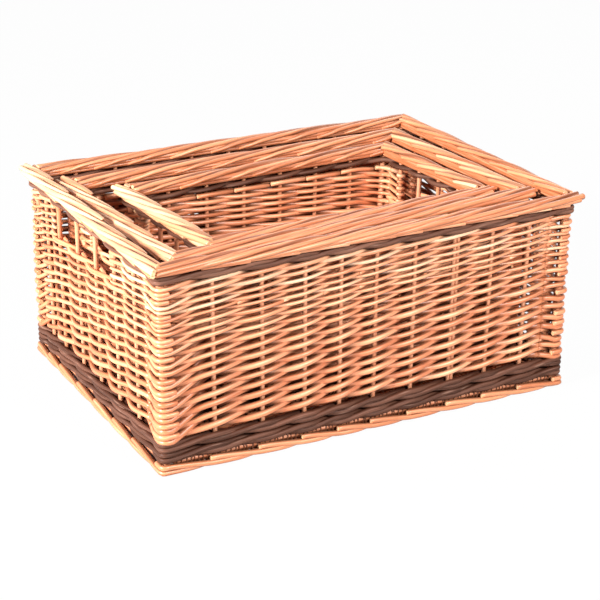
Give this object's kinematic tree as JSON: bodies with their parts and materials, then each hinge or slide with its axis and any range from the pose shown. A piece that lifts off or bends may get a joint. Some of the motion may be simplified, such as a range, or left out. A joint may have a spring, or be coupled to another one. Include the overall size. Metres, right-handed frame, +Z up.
{
  "type": "storage basket nest",
  "caption": "Nest of rectangular woven willow storage baskets with flat borders, dark wales and a handle hole in each end; the smaller ones lift out.",
  "frame": {"origin": "centre of the outer basket's footprint, on the surface that it stands on", "axes": "+X along the long side towards the right end, +Y towards the back, +Z up through the open tops"},
  "size_m": [0.56, 0.408, 0.248],
  "materials": {
    "weave_willow": "satin buff willow rods",
    "border_willow": "satin buff willow rods, a little lighter",
    "stake_willow": "satin buff willow stakes",
    "dark_willow": "satin dark steamed willow rods",
    "base_willow": "matte buff willow rods"
  },
  "bodies": {
    "outer_basket": {"outer_base_mat": "base_willow", "outer_foot_border": "border_willow", "outer_lower_wale": "dark_willow", "outer_upper_wale": "dark_willow", "outer_rim_border": "border_willow", "outer_front_stakes": "stake_willow", "outer_front_weave": "weave_willow", "outer_right_stakes": "stake_willow", "outer_right_weave": "weave_willow", "outer_right_weave_front_of_hole": "weave_willow", "outer_right_weave_back_of_hole": "weave_willow", "outer_back_stakes": "stake_willow", "outer_back_weave": "weave_willow", "outer_left_stakes": "stake_willow", "outer_left_weave": "weave_willow", "outer_left_weave_front_of_hole": "weave_willow", "outer_left_weave_back_of_hole": "weave_willow"},
    "middle_basket": {"middle_base_mat": "base_willow", "middle_foot_border": "border_willow", "middle_lower_wale": "dark_willow", "middle_upper_wale": "dark_willow", "middle_rim_border": "border_willow", "middle_front_stakes": "stake_willow", "middle_front_weave": "weave_willow", "middle_right_stakes": "stake_willow", "middle_right_weave": "weave_willow", "middle_right_weave_front_of_hole": "weave_willow", "middle_right_weave_back_of_hole": "weave_willow", "middle_back_stakes": "stake_willow", "middle_back_weave": "weave_willow", "middle_left_stakes": "stake_willow", "middle_left_weave": "weave_willow", "middle_left_weave_front_of_hole": "weave_willow", "middle_left_weave_back_of_hole": "weave_willow"},
    "inner_basket": {"inner_base_mat": "base_willow", "inner_foot_border": "border_willow", "inner_lower_wale": "dark_willow", "inner_upper_wale": "dark_willow", "inner_rim_border": "border_willow", "inner_front_stakes": "stake_willow", "inner_front_weave": "weave_willow", "inner_right_stakes": "stake_willow", "inner_right_weave": "weave_willow", "inner_right_weave_front_of_hole": "weave_willow", "inner_right_weave_back_of_hole": "weave_willow", "inner_back_stakes": "stake_willow", "inner_back_weave": "weave_willow", "inner_left_stakes": "stake_willow", "inner_left_weave": "weave_willow", "inner_left_weave_front_of_hole": "weave_willow", "inner_left_weave_back_of_hole": "weave_willow"}
  },
  "joints": [
    {"name": "middle_lift", "type": "slide", "parent": "outer_basket", "child": "middle_basket", "axis": [0, 0, 1], "range_m": [0, 0.25]},
    {"name": "inner_lift", "type": "slide", "parent": "middle_basket", "child": "inner_basket", "axis": [0, 0, 1], "range_m": [0, 0.23]}
  ]
}
